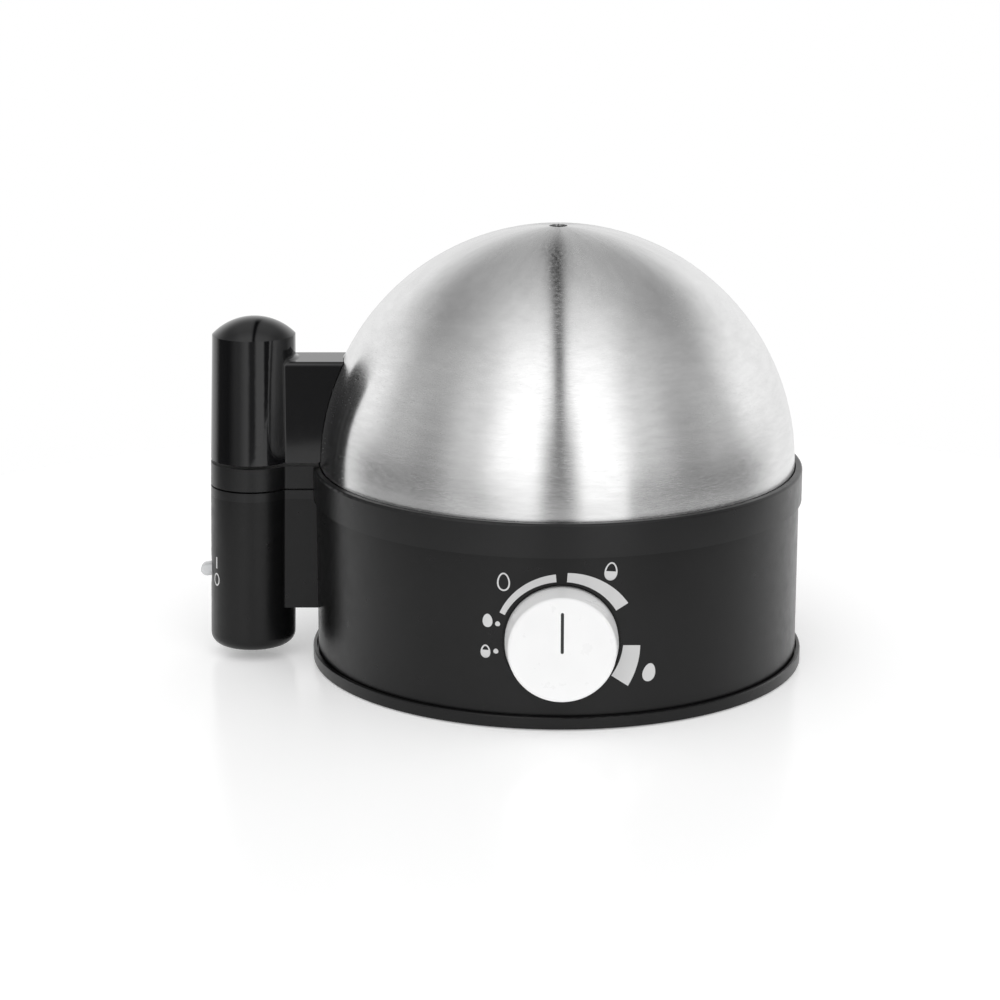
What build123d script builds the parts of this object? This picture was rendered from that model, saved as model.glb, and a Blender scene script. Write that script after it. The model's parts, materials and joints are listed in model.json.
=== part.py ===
"""Egg cooker: a round heated base, a lift-out egg tray and a steel dome lid.

Millimetres, +Z up. The origin is on the dome's axis at table height. The
control knob faces -Y and the handle stack stands on the -X side.
"""

import os
from math import acos, asin, atan, atan2, cos, degrees, hypot, pi, radians, sin, sqrt, tan

from build123d import *

os.makedirs("parts", exist_ok=True)

# ---------------------------------------------------------------- clearances
seat_gap = 0.3  # between faces of pieces that lift apart
trim_gap = 0.4  # between moving pieces and the casing round them
running_gap = 0.05  # radial, shaft in bush or pin in bore
assembly_gap = 0.1  # between fixed pieces that plug together
pick_slack = 0.01  # either side of a height when edges are picked by place

# ------------------------------------------------------------- driving sizes
body_radius = 82.0
seam_height = 56.7  # top of the housing, underside of the collar
housing_wall = 2.4
collar_overhang = 1.0  # collar proud of the housing
collar_height = 11.0
dome_lift = 0.3  # dome's widest circle above the collar's top
dome_wall = 0.8
vent_radius = 3.0

# Handle stack: three round posts on one axis that leans a little inwards.
handle_reach = 22.75  # from the housing to the handle's axis, at table height
handle_lean = 1.3
handle_radius = 14.5
handle_bottom = 3.7
handle_bottom_round = 4.0
handle_wall = 2.2
neck_width = 18.4
neck_bottom = 18.3
neck_blend = 1.5
band_thickness = 3.0  # collar's cap over the lower handle

# Base plate and foot
foot_height = 0.5
foot_inset = 22.0
foot_width = 5.0
foot_groove_depth = 1.0
plate_thickness = 2.2
rim_overhang = 1.8  # rim proud of the housing
rim_height = 4.0
rim_width = 1.2
rim_edge_round = 0.5
locating_ring_width = 1.5
locating_ring_height = 5.0

# Tie screws that clamp base plate, housing and collar together
tie_count = 4
tie_inset = 6.6
tie_shank_radius = 1.45
tie_head_radius = 2.7
tie_head_height = 2.0
tie_boss_radius = 4.6
tie_pocket_radius = 3.9
tie_pocket_height = 3.3
tie_bite = 5.0

# Collar
collar_wall = 2.2
ledge_thickness = 1.7
spigot_width = 1.9
spigot_depth = 6.7
collar_edge_round = 0.8

# Water pan and its heater
pan_inset = 13.0
pan_wall = 0.8
pan_depth = 15.0
pan_corner_round = 4.0
seal_thickness = 0.8
spreader_inset = 13.0
spreader_thickness = 3.0
spreader_bevel = 0.5
element_tube_radius = 3.25
element_room = 4.75  # between the element and the thermostat
element_gap_angle = 60.0
element_leg_length = 10.0
terminal_bead_radius = 2.6
terminal_bead_length = 3.0
terminal_pin_radius = 1.0
terminal_pin_length = 6.0

# Egg tray
tray_thickness = 2.5
egg_hole_radius = 18.5
egg_hole_margin = 2.5  # from the outer holes to the pan's wall
egg_web = 9.0  # least material between two egg holes
steam_hole_radius = 3.0
tray_guide_height = 3.5
tray_guide_width = 1.6
tray_handle_gap = 0.6  # above the collar's band
tray_handle_height = 7.7
egg_hole_bevel = 0.8

# Lid
lid_handle_gap = 1.2  # above the tray's handle
bracket_rise = 35.7  # bracket's top above the dome's centre
cap_crease_rise = 8.0  # above the bracket's top
cap_radius = 14.0
cap_rise = 5.9
bracket_edge_round = 1.5
bracket_seat_gap = 0.15
lid_plug_thickness = 2.0
clamp_thickness = 1.0
clamp_width = 15.0
clamp_margin = 4.0  # degrees past the screws, above and below
screw_hole_overrun = 2.0  # a cut starts and ends this far outside its sheet
lid_screw_elevations = (9.0, 21.0)
lid_screw_shank_radius = 1.45
lid_screw_head_radius = 2.8
lid_screw_head_height = 1.8
lid_screw_length = 9.0

# Control knob on the front
knob_drop = 1.6  # knob's axis below the middle of the visible wall
knob_stand_out = 9.0
knob_back_radius = 18.0
knob_front_radius = 17.05
knob_skirt_depth = 3.2
knob_wall = 1.9
knob_face_thickness = 2.4
knob_edge_round = 1.2
knob_well_radius = 18.9
knob_well_depth = 2.5
knob_pad_thickness = 2.7
knob_pad_margin = 1.0
hub_radius = 5.8
shaft_radius = 3.0
shaft_flat_offset = 1.8  # from the axis to the flat
clip_thickness = 0.5
shaft_hole_radius = 4.0
pointer_length = 13.4
pointer_width = 1.0
pointer_depth = 0.4
pointer_outer_end = 12.4  # distance of its upper end from the knob axis

# Thermostat behind the knob
thermostat_inset = 24.0
thermostat_depth = 16.0
thermostat_width = 24.0
thermostat_height = 20.0
thermostat_drop = 3.2  # below the heat spreader
bush_radius = 4.8
bush_length = 6.0
bracket_sheet = 1.0
bracket_tab_length = 13.0
bracket_screw_inset = 4.0  # from the tab's sides and its free end
bracket_screw_radius = 1.3
bracket_screw_head_radius = 2.4
bracket_screw_head_height = 1.4
thermostat_edge_round = 1.5
nut_thickness = 2.0
nut_flange = 2.4  # from the bush to the nut's corners
thermostat_blade_rise = 6.0  # above the thermostat's underside
thermostat_blade_offset = 7.0
thermostat_blade_length = 6.0

# On/off lever in the lower handle
lever_pivot_offset = 4.96  # outwards from the handle's axis
lever_pivot_height = 31.2
lever_length = 13.1  # from pivot to tip, measured level
lever_tip_drop = 1.6
lever_thickness = 4.3
lever_width = 5.2
lever_hub_radius = 3.6
lever_pin_radius = 1.2
lever_slot_height = 8.4
lever_slot_round = 1.5
dish_height = 13.4
dish_depth = 0.8
switch_depth = 15.8
switch_width = 12.0
switch_height = 23.5
switch_seat_drop = 11.7  # switch's underside below the pivot
switch_cheek = 1.8
switch_floor = 2.5
switch_edge_round = 0.8
switch_blade_inset = 5.5  # from the switch's top and underside
switch_blade_length = 6.0
lamp_radius = 1.8

# Mains side
gland_height = 15.0
gland_bore_radius = 3.4
gland_body_radius = 5.0
gland_flange_radius = 6.5
gland_flange_thickness = 2.5
block_length = 24.0
block_depth = 14.0
block_height = 10.0
block_inset = 36.0
block_port_spacing = 7.0
block_edge_round = 1.0
terminal_screw_radius = 1.6
terminal_slot_width = 0.6
terminal_slot_depth = 0.8
buzzer_radius = 11.0
buzzer_height = 9.0
buzzer_edge_round = 1.0
buzzer_hole_radius = 1.5
buzzer_x = 36.0
buzzer_y = -24.0
fuse_radius = 2.2
fuse_length = 12.0
fuse_y = 8.0
fuse_bevel = 0.4
fuse_strap_thickness = 0.6
fuse_strap_foot = 6.0
wire_radius = 1.1
blade_thickness = 0.8
blade_width = 5.0

# ------------------------------------------------------------ derived places
housing_inner_radius = body_radius - housing_wall
plate_top = foot_height + plate_thickness
rim_radius = body_radius + rim_overhang
foot_inner_radius = body_radius - foot_inset
tie_circle_radius = body_radius - tie_inset
tie_joint_height = seam_height - spigot_depth
tie_first_angle = 180 / tie_count
tie_boss_bottom = plate_top + tie_pocket_height
band_top = seam_height + band_thickness

collar_radius = body_radius + collar_overhang
collar_top = seam_height + collar_height
collar_inner_radius = collar_radius - collar_wall
ledge_top = seam_height + ledge_thickness
dome_radius = collar_inner_radius - trim_gap
dome_inner_radius = dome_radius - dome_wall
dome_centre_height = collar_top + dome_lift

pan_inner_radius = body_radius - pan_inset
pan_outer_radius = pan_inner_radius + pan_wall
pan_rim_bottom = ledge_top + seal_thickness
pan_rim_top = pan_rim_bottom + pan_wall
pan_rim_radius = collar_inner_radius - trim_gap - assembly_gap
pan_floor_height = pan_rim_top - pan_depth
ledge_inner_radius = pan_outer_radius + 2 * trim_gap

tray_radius = pan_rim_radius
tray_top = pan_rim_top + tray_thickness
tray_handle_bottom = band_top + tray_handle_gap
tray_handle_top = tray_handle_bottom + tray_handle_height
egg_ring_radius = pan_inner_radius - egg_hole_margin - egg_hole_radius
egg_ring_count = int(pi / asin((egg_hole_radius + egg_web / 2) / egg_ring_radius))
middle_egg_fits = egg_ring_radius >= 2 * egg_hole_radius + egg_web

lid_handle_bottom = tray_handle_top + lid_handle_gap
bracket_top = dome_centre_height + bracket_rise
cap_crease_height = bracket_top + cap_crease_rise

spreader_radius = pan_inner_radius - spreader_inset
spreader_top = pan_floor_height - pan_wall
spreader_bottom = spreader_top - spreader_thickness
thermostat_front = body_radius - thermostat_inset
thermostat_back = thermostat_front - thermostat_depth
thermostat_top = spreader_bottom - thermostat_drop
thermostat_bottom = thermostat_top - thermostat_height
element_ring_radius = thermostat_back - element_room - element_tube_radius
element_height = spreader_bottom - element_tube_radius

knob_height = (foot_height + rim_height + seam_height) / 2 - knob_drop
knob_front = body_radius + knob_stand_out
knob_well_floor = body_radius - knob_well_depth
knob_pad_radius = knob_well_radius + knob_pad_margin
knob_back = knob_well_floor + seat_gap
knob_taper_start = knob_back + knob_skirt_depth
knob_taper_depth = knob_front - knob_taper_start
knob_taper = degrees(atan((knob_back_radius - knob_front_radius) / knob_taper_depth))

half_neck = neck_width / 2
handle_foot_x = -(body_radius + handle_reach)
handle_core_radius = handle_radius - handle_wall
handle_floor = handle_bottom + housing_wall
switch_bottom = lever_pivot_height - switch_seat_drop
switch_top = switch_bottom + switch_height
block_y = body_radius - block_inset


def handle_x(height):
    """Where the handle's leaning axis is at a height."""
    return handle_foot_x + height * tan(radians(handle_lean))


def leaning_post(bottom, top, bottom_radius, top_radius):
    """A round post on the handle's axis, with level ends."""
    with BuildPart() as post:
        with BuildSketch(Plane.XY.offset(bottom)):
            with Locations((handle_x(bottom), 0)):
                Circle(bottom_radius)
        with BuildSketch(Plane.XY.offset(top)):
            with Locations((handle_x(top), 0)):
                Circle(top_radius)
        loft()
    return post.part


def neck_block(bottom, top, width, inner_x):
    """A level block from the handle's axis to inner_x, as wide as asked."""
    outer_x = handle_x((bottom + top) / 2)
    with BuildPart() as block:
        with BuildSketch(Plane.XY.offset(bottom)):
            with Locations(((outer_x + inner_x) / 2, 0)):
                Rectangle(inner_x - outer_x, width)
        extrude(amount=top - bottom)
    return block.part


def corner_edges(piece, bottom, top):
    """The upright inner corners where a neck meets the side of its post."""
    nearest_x = handle_x(bottom) + 0.5 * handle_radius
    furthest_x = handle_x(top) + handle_radius
    upright = piece.edges().filter_by_position(Axis.X, nearest_x, furthest_x)
    upright = upright.filter_by_position(Axis.Z, bottom + 1, top - 1)
    return upright.filter_by(lambda edge: abs(abs(edge.center().Y) - half_neck) < 0.2)


def save(part, label):
    """Label a finished piece and write it."""
    part.label = label
    export_step(part, f"parts/{label}.step")


# ================================================================ base casing
# Base plate: a disc with an upstanding rim that frames the housing's foot.
with BuildPart() as base_plate:
    with BuildSketch(Plane.XY.offset(foot_height)):
        Circle(rim_radius)
    extrude(amount=rim_height)
    rim_edges = base_plate.edges().filter_by(GeomType.CIRCLE).sort_by(Axis.Z)
    fillet(rim_edges[-1], radius=rim_edge_round)
    with BuildSketch(Plane.XY.offset(plate_top)):
        Circle(rim_radius - rim_width)
    extrude(amount=rim_height, mode=Mode.SUBTRACT)
    with BuildSketch(Plane.XY.offset(plate_top)):
        Circle(housing_inner_radius - assembly_gap)
        Circle(housing_inner_radius - assembly_gap - locating_ring_width, mode=Mode.SUBTRACT)
    extrude(amount=locating_ring_height)
    # The locating ring stops either side of the tie screw bosses.
    with BuildSketch(Plane.XY.offset(plate_top)):
        with PolarLocations(tie_circle_radius, tie_count, start_angle=tie_first_angle):
            Circle(tie_boss_radius + trim_gap)
    extrude(amount=locating_ring_height, mode=Mode.SUBTRACT)
    with BuildSketch(Plane.XY.offset(foot_height)):
        with PolarLocations(tie_circle_radius, tie_count, start_angle=tie_first_angle):
            Circle(tie_pocket_radius)
    extrude(amount=plate_thickness + tie_pocket_height)
    with BuildSketch(Plane.XY.offset(foot_height)):
        with PolarLocations(tie_circle_radius, tie_count, start_angle=tie_first_angle):
            Circle(tie_head_radius + assembly_gap)
    extrude(amount=plate_thickness + tie_pocket_height - housing_wall, mode=Mode.SUBTRACT)
    with BuildSketch(Plane.XY.offset(foot_height)):
        with PolarLocations(tie_circle_radius, tie_count, start_angle=tie_first_angle):
            Circle(tie_shank_radius + trim_gap)
    extrude(amount=plate_thickness + tie_pocket_height, mode=Mode.SUBTRACT)
    with BuildSketch(Plane.XY.offset(foot_height)):
        Circle(foot_inner_radius + foot_width)
        Circle(foot_inner_radius, mode=Mode.SUBTRACT)
    extrude(amount=foot_groove_depth, mode=Mode.SUBTRACT)
save(base_plate.part, "base_plate")

# Foot: one soft ring pressed into the plate's groove.
with BuildPart() as foot_ring:
    with BuildSketch(Plane.XY):
        Circle(foot_inner_radius + foot_width)
        Circle(foot_inner_radius, mode=Mode.SUBTRACT)
    extrude(amount=foot_height + foot_groove_depth)
save(foot_ring.part, "foot_ring")

# Housing: the round wall, the neck and the lower handle are one moulding.
lower_post = leaning_post(handle_bottom, seam_height, handle_radius, handle_radius)
lower_core = leaning_post(handle_floor, seam_height, handle_core_radius, handle_core_radius)
lower_neck = neck_block(neck_bottom, seam_height, neck_width, -housing_inner_radius)
neck_duct = neck_block(
    neck_bottom + handle_wall,
    seam_height,
    neck_width - 2 * handle_wall,
    -(body_radius - housing_wall / 2),
)
with BuildPart() as base_housing:
    add(lower_post)
    bottom_edge = base_housing.edges().filter_by(GeomType.LINE, reverse=True).sort_by(Axis.Z)
    fillet(bottom_edge[0], radius=handle_bottom_round)
    add(lower_neck)
    fillet(corner_edges(base_housing, neck_bottom, seam_height), radius=neck_blend)
    with BuildSketch(Plane.XY.offset(plate_top)):
        Circle(body_radius)
    extrude(amount=seam_height - plate_top)
    with BuildSketch(Plane.XY.offset(plate_top)):
        Circle(housing_inner_radius)
    extrude(amount=seam_height - plate_top, mode=Mode.SUBTRACT)
    # Hollow handle and neck, both open at the top under the collar's band.
    add(lower_core, mode=Mode.SUBTRACT)
    add(neck_duct, mode=Mode.SUBTRACT)
    # Wire window from the neck into the body
    window_top = tie_joint_height - housing_wall
    window_bottom = neck_bottom + handle_wall
    with BuildSketch(Plane.YZ.offset(-(body_radius + housing_wall))):
        with Locations((0, (window_top + window_bottom) / 2)):
            Rectangle(neck_width - 2 * handle_wall, window_top - window_bottom)
    extrude(amount=3 * housing_wall, mode=Mode.SUBTRACT)
    # Tie screw bosses run up the inside of the wall.
    with BuildSketch(Plane.XY.offset(tie_boss_bottom)):
        with PolarLocations(tie_circle_radius, tie_count, start_angle=tie_first_angle):
            Circle(tie_boss_radius)
            Circle(tie_shank_radius + seat_gap, mode=Mode.SUBTRACT)
    extrude(amount=tie_joint_height - tie_boss_bottom)
    # Shelf that the switch stands on
    with BuildSketch(Plane.XY.offset(handle_floor - handle_wall / 2)):
        with Locations((handle_x(handle_floor), 0)):
            Rectangle(switch_depth - 2 * housing_wall, switch_width - housing_wall)
    extrude(amount=switch_bottom - handle_floor + handle_wall / 2)
    # Knob well: a flat pad in the wall, a round well and the shaft's hole.
    with BuildSketch(Plane.XZ.offset(knob_well_floor - knob_pad_thickness)):
        with Locations((0, knob_height)):
            Circle(knob_pad_radius)
    extrude(amount=knob_pad_thickness)
    with BuildSketch(Plane.XZ.offset(knob_well_floor)):
        with Locations((0, knob_height)):
            Circle(knob_well_radius)
    extrude(amount=body_radius - knob_well_floor + housing_wall, mode=Mode.SUBTRACT)
    with BuildSketch(Plane.XZ.offset(knob_well_floor - 2 * knob_pad_thickness)):
        with Locations((0, knob_height)):
            Circle(shaft_hole_radius)
    extrude(amount=3 * knob_pad_thickness, mode=Mode.SUBTRACT)
    # Lever dish and slot in the handle's outer side
    handle_side_x = handle_x(lever_pivot_height) - handle_radius
    dish_radius = ((dish_height / 2) ** 2 + dish_depth**2) / (2 * dish_depth)
    with Locations((handle_side_x - dish_radius + dish_depth, 0, lever_pivot_height)):
        Sphere(dish_radius, mode=Mode.SUBTRACT)
    with BuildSketch(Plane.YZ.offset(handle_side_x - 1)):
        with Locations((0, lever_pivot_height)):
            RectangleRounded(lever_width + 2 * trim_gap, lever_slot_height, lever_slot_round)
    extrude(amount=handle_wall + 3, mode=Mode.SUBTRACT)
    # Cord hole with a flat seat for the gland's flange
    gland_seat = sqrt(body_radius**2 - gland_flange_radius**2) - assembly_gap
    with BuildSketch(Plane.XZ.offset(-gland_seat)):
        with Locations((0, gland_height)):
            Circle(gland_flange_radius + assembly_gap)
    extrude(amount=-housing_wall, mode=Mode.SUBTRACT)
    with BuildSketch(Plane.XZ.offset(-(body_radius + housing_wall))):
        with Locations((0, gland_height)):
            Circle(gland_body_radius + assembly_gap)
    extrude(amount=3 * housing_wall, mode=Mode.SUBTRACT)
save(base_housing.part, "base_housing")

# Cord gland: a flanged bush with a lip inside the wall.
gland_inner_end = housing_inner_radius - housing_wall
with BuildPart() as cord_gland:
    with BuildSketch(Plane.XZ.offset(-gland_seat)):
        with Locations((0, gland_height)):
            Circle(gland_flange_radius)
    extrude(amount=-gland_flange_thickness)
    with BuildSketch(Plane.XZ.offset(-gland_seat)):
        with Locations((0, gland_height)):
            Circle(gland_body_radius)
    extrude(amount=gland_seat - gland_inner_end)
    outer_edge = cord_gland.edges().filter_by(GeomType.CIRCLE).sort_by(Axis.Y)[-1]
    fillet(outer_edge, radius=gland_flange_thickness / 3)
    lip_front = sqrt(housing_inner_radius**2 - gland_flange_radius**2) - assembly_gap
    with BuildSketch(Plane.XZ.offset(-lip_front)):
        with Locations((0, gland_height)):
            Circle(gland_flange_radius)
    extrude(amount=lip_front - gland_inner_end)
    with BuildSketch(Plane.XZ.offset(-gland_inner_end)):
        with Locations((0, gland_height)):
            Circle(gland_bore_radius)
    extrude(amount=-(gland_seat + gland_flange_thickness - gland_inner_end), mode=Mode.SUBTRACT)
save(cord_gland.part, "cord_gland")

# Collar: the ring round the dome's skirt, the pan's ledge and the handle band.
band_post = leaning_post(seam_height, band_top, handle_radius, handle_radius)
band_neck = neck_block(seam_height, band_top, neck_width, -ledge_inner_radius)
spigot_radius = housing_inner_radius - assembly_gap
with BuildPart() as collar_ring:
    add(band_post)
    add(band_neck)
    fillet(corner_edges(collar_ring, seam_height, band_top), radius=neck_blend)
    with BuildSketch(Plane.XY.offset(seam_height)):
        Circle(collar_radius)
    extrude(amount=collar_top - seam_height)
    top_edge = collar_ring.edges().filter_by(GeomType.CIRCLE).sort_by(Axis.Z)[-1]
    fillet(top_edge, radius=collar_edge_round)
    with BuildSketch(Plane.XY.offset(ledge_top)):
        Circle(collar_inner_radius)
    extrude(amount=collar_top - ledge_top, mode=Mode.SUBTRACT)
    with BuildSketch(Plane.XY.offset(tie_joint_height)):
        Circle(spigot_radius)
        Circle(spigot_radius - spigot_width, mode=Mode.SUBTRACT)
    extrude(amount=seam_height - tie_joint_height)
    # The spigot makes room for the pad behind the knob.
    with BuildSketch(Plane.XZ.offset(knob_well_floor - 2 * knob_pad_thickness)):
        with Locations((0, knob_height)):
            Circle(knob_pad_radius + trim_gap)
        with Locations((0, seam_height)):
            Rectangle(
                4 * knob_pad_radius,
                2 * knob_pad_radius,
                align=(Align.CENTER, Align.MIN),
                mode=Mode.SUBTRACT,
            )
    extrude(amount=2 * knob_pad_thickness, mode=Mode.SUBTRACT)
    with BuildSketch(Plane.XY.offset(tie_joint_height)):
        with PolarLocations(tie_circle_radius, tie_count, start_angle=tie_first_angle):
            Circle(tie_boss_radius - 2 * trim_gap)
    extrude(amount=seam_height - tie_joint_height)
    with BuildSketch(Plane.XY.offset(tie_joint_height)):
        with PolarLocations(tie_circle_radius, tie_count, start_angle=tie_first_angle):
            Circle(tie_shank_radius + running_gap)
    extrude(amount=tie_bite + assembly_gap, mode=Mode.SUBTRACT)
    with BuildSketch(Plane.XY.offset(tie_joint_height)):
        Circle(ledge_inner_radius)
    extrude(amount=ledge_top - tie_joint_height, mode=Mode.SUBTRACT)
    # Notch that lets the tray's neck out
    with BuildSketch(Plane.XY.offset(band_top)):
        with Locations((-collar_radius, 0)):
            Rectangle(4 * collar_wall, neck_width + 2 * trim_gap)
    extrude(amount=collar_top - band_top, mode=Mode.SUBTRACT)
    # Rib that holds the switch down
    with BuildSketch(Plane.XY.offset(switch_top)):
        with Locations((handle_x(switch_top), 0)):
            Rectangle(switch_depth / 3, switch_width - housing_wall)
    extrude(amount=seam_height - switch_top)
save(collar_ring.part, "collar_ring")

# Tie screws, pushed up from below.
tie_seat = foot_height + plate_thickness + tie_pocket_height - housing_wall
with BuildPart() as tie_screws:
    with BuildSketch(Plane.XY.offset(tie_seat)):
        with PolarLocations(tie_circle_radius, tie_count, start_angle=tie_first_angle):
            Circle(tie_head_radius)
    extrude(amount=-tie_head_height)
    head_edges = tie_screws.edges().filter_by(GeomType.CIRCLE).group_by(Axis.Z)[0]
    fillet(head_edges, radius=tie_head_height / 3)
    with BuildSketch(Plane.XY.offset(tie_seat - tie_head_height)):
        with PolarLocations(tie_circle_radius, tie_count, start_angle=tie_first_angle):
            Rectangle(1.4 * tie_head_radius, 0.3 * tie_head_radius)
            Rectangle(0.3 * tie_head_radius, 1.4 * tie_head_radius)
    extrude(amount=tie_head_height / 2, mode=Mode.SUBTRACT)
    with BuildSketch(Plane.XY.offset(tie_seat)):
        with PolarLocations(tie_circle_radius, tie_count, start_angle=tie_first_angle):
            Circle(tie_shank_radius)
    extrude(amount=tie_joint_height + tie_bite - tie_seat)
save(tie_screws.part, "tie_screws")

# ===================================================================== heater
# Seal between the collar's ledge and the pan's rim
with BuildPart() as pan_seal:
    with BuildSketch(Plane.XY.offset(ledge_top)):
        Circle(pan_rim_radius - trim_gap)
        Circle(ledge_inner_radius + trim_gap, mode=Mode.SUBTRACT)
    extrude(amount=seal_thickness)
save(pan_seal.part, "pan_seal")

# Water pan: a shallow steel bowl with a wide rim, turned from one profile.
with BuildPart() as heating_pan:
    with BuildSketch(Plane.XZ):
        with BuildLine():
            Polyline(
                (0, spreader_top),
                (pan_outer_radius, spreader_top),
                (pan_outer_radius, pan_rim_bottom),
                (pan_rim_radius, pan_rim_bottom),
                (pan_rim_radius, pan_rim_top),
                (pan_inner_radius, pan_rim_top),
                (pan_inner_radius, pan_floor_height),
                (0, pan_floor_height),
                close=True,
            )
        pan_section = make_face()
        pan_corners = pan_section.vertices()
        outer_corner = pan_corners.group_by(Axis.Y)[0].sort_by(Axis.X)[-1]
        inner_corner = pan_corners.group_by(Axis.Y)[1].sort_by(Axis.X)[-1]
        fillet(outer_corner, radius=pan_corner_round)
        fillet(inner_corner, radius=pan_corner_round - pan_wall)
    revolve(axis=Axis.Z)
save(heating_pan.part, "heating_pan")

# Heat spreader: an aluminium disc under the pan's floor.
spreader_screw_x = thermostat_width / 2 - bracket_screw_inset
spreader_screw_y = -(thermostat_front - bracket_tab_length + bracket_screw_inset)
with BuildPart() as heat_spreader:
    with BuildSketch(Plane.XY.offset(spreader_bottom)):
        Circle(spreader_radius)
        with Locations((-spreader_screw_x, spreader_screw_y), (spreader_screw_x, spreader_screw_y)):
            Circle(bracket_screw_radius + running_gap, mode=Mode.SUBTRACT)
    extrude(amount=spreader_thickness)
    spreader_edge = heat_spreader.edges().filter_by(GeomType.CIRCLE).sort_by(SortBy.LENGTH)[-2:]
    chamfer(spreader_edge, length=spreader_bevel)
save(heat_spreader.part, "heat_spreader")

# Heating element: an open ring of tube whose two ends turn down.
half_gap = radians(element_gap_angle / 2)
element_end_x = element_ring_radius * sin(half_gap)
element_end_y = element_ring_radius * cos(half_gap)
element_ends = [(-element_end_x, element_end_y), (element_end_x, element_end_y)]
element_leg_end = element_height - element_leg_length
start_plane = Plane(
    origin=(0, 0, 0),
    x_dir=(-sin(half_gap), cos(half_gap), 0),
    z_dir=(cos(half_gap), sin(half_gap), 0),
)
with BuildPart() as heating_element:
    with BuildSketch(start_plane):
        with Locations((element_ring_radius, element_height)):
            Circle(element_tube_radius)
    revolve(axis=Axis.Z, revolution_arc=360 - element_gap_angle)
    with Locations([(x, y, element_height) for x, y in element_ends]):
        Sphere(element_tube_radius)
    with BuildSketch(Plane.XY.offset(element_leg_end)):
        with Locations(element_ends):
            Circle(element_tube_radius)
    extrude(amount=element_leg_length)
save(heating_element.part, "heating_element")

# Element terminals: an insulating bead and a pin under each leg.
bead_bottom = element_leg_end - terminal_bead_length
pin_bottom = bead_bottom - terminal_pin_length
with BuildPart() as element_beads:
    with BuildSketch(Plane.XY.offset(bead_bottom)):
        with Locations(element_ends):
            Circle(terminal_bead_radius)
    extrude(amount=terminal_bead_length)
save(element_beads.part, "element_beads")

with BuildPart() as element_pins:
    with BuildSketch(Plane.XY.offset(pin_bottom)):
        with Locations(element_ends):
            Circle(terminal_pin_radius)
    extrude(amount=terminal_pin_length)
save(element_pins.part, "element_pins")

# Thermal fuse, strapped under the middle of the spreader.
fuse_height = spreader_bottom - fuse_radius
with BuildPart() as thermal_fuse:
    with BuildSketch(Plane.YZ.offset(-fuse_length / 2)):
        with Locations((fuse_y, fuse_height)):
            Circle(fuse_radius)
    extrude(amount=fuse_length)
    chamfer(thermal_fuse.edges().filter_by(GeomType.CIRCLE), length=fuse_bevel)
save(thermal_fuse.part, "thermal_fuse")

strap_inner = fuse_radius + running_gap
strap_outer = strap_inner + fuse_strap_thickness
with BuildPart() as fuse_strap:
    with BuildSketch(Plane.YZ.offset(-fuse_length / 4)):
        with Locations((fuse_y, fuse_height)):
            Circle(strap_outer)
            Rectangle(2 * strap_outer, fuse_radius, align=(Align.CENTER, Align.MIN))
        with Locations((fuse_y, spreader_bottom)):
            Rectangle(
                2 * (strap_outer + fuse_strap_foot),
                fuse_strap_thickness,
                align=(Align.CENTER, Align.MAX),
            )
        with Locations((fuse_y, fuse_height)):
            Circle(strap_inner, mode=Mode.SUBTRACT)
            Rectangle(2 * strap_inner, strap_outer, align=(Align.CENTER, Align.MIN), mode=Mode.SUBTRACT)
        with Locations((fuse_y, spreader_bottom)):
            Rectangle(4 * strap_outer, strap_outer, align=(Align.CENTER, Align.MIN), mode=Mode.SUBTRACT)
    extrude(amount=fuse_length / 2)
save(fuse_strap.part, "fuse_strap")

# ================================================================= thermostat
thermostat_mid_height = (thermostat_bottom + thermostat_top) / 2
blade_height = thermostat_bottom + thermostat_blade_rise
with BuildPart() as thermostat:
    with BuildSketch(Plane.XZ.offset(thermostat_back)):
        with Locations((0, thermostat_mid_height)):
            RectangleRounded(
                thermostat_width,
                thermostat_top - thermostat_bottom,
                thermostat_edge_round,
            )
    extrude(amount=thermostat_depth)
    with BuildSketch(Plane.XZ.offset(thermostat_front)):
        with Locations((0, knob_height)):
            Circle(bush_radius)
    extrude(amount=bush_length)
    with BuildSketch(Plane.XZ.offset(thermostat_front + bush_length)):
        with Locations((0, knob_height)):
            Circle(shaft_radius + running_gap)
    extrude(amount=-(bush_length + thermostat_depth / 2), mode=Mode.SUBTRACT)
save(thermostat.part, "thermostat")

# Blade terminals on the thermostat's back
with BuildPart() as thermostat_blades:
    with BuildSketch(Plane.XZ.offset(thermostat_back)):
        with Locations(*[(side * thermostat_blade_offset, blade_height) for side in (-1, 1)]):
            Rectangle(blade_width, blade_thickness)
    extrude(amount=-thermostat_blade_length)
save(thermostat_blades.part, "thermostat_blades")

# Bracket: a bent sheet that hangs the thermostat from the spreader.
bracket_front = thermostat_front + bracket_sheet
tab_bottom = spreader_bottom - bracket_sheet
with BuildPart() as thermostat_bracket:
    with BuildSketch(Plane.XZ.offset(thermostat_front)):
        with Locations((0, (thermostat_bottom + spreader_bottom) / 2)):
            Rectangle(thermostat_width, spreader_bottom - thermostat_bottom)
        with Locations((0, knob_height)):
            Circle(bush_radius + assembly_gap, mode=Mode.SUBTRACT)
    extrude(amount=bracket_sheet)
    with BuildSketch(Plane.XY.offset(tab_bottom)):
        with Locations((0, -thermostat_front)):
            Rectangle(thermostat_width, bracket_tab_length, align=(Align.CENTER, Align.MIN))
        with Locations((-spreader_screw_x, spreader_screw_y), (spreader_screw_x, spreader_screw_y)):
            Circle(bracket_screw_radius + assembly_gap, mode=Mode.SUBTRACT)
    extrude(amount=bracket_sheet)
save(thermostat_bracket.part, "thermostat_bracket")

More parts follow.
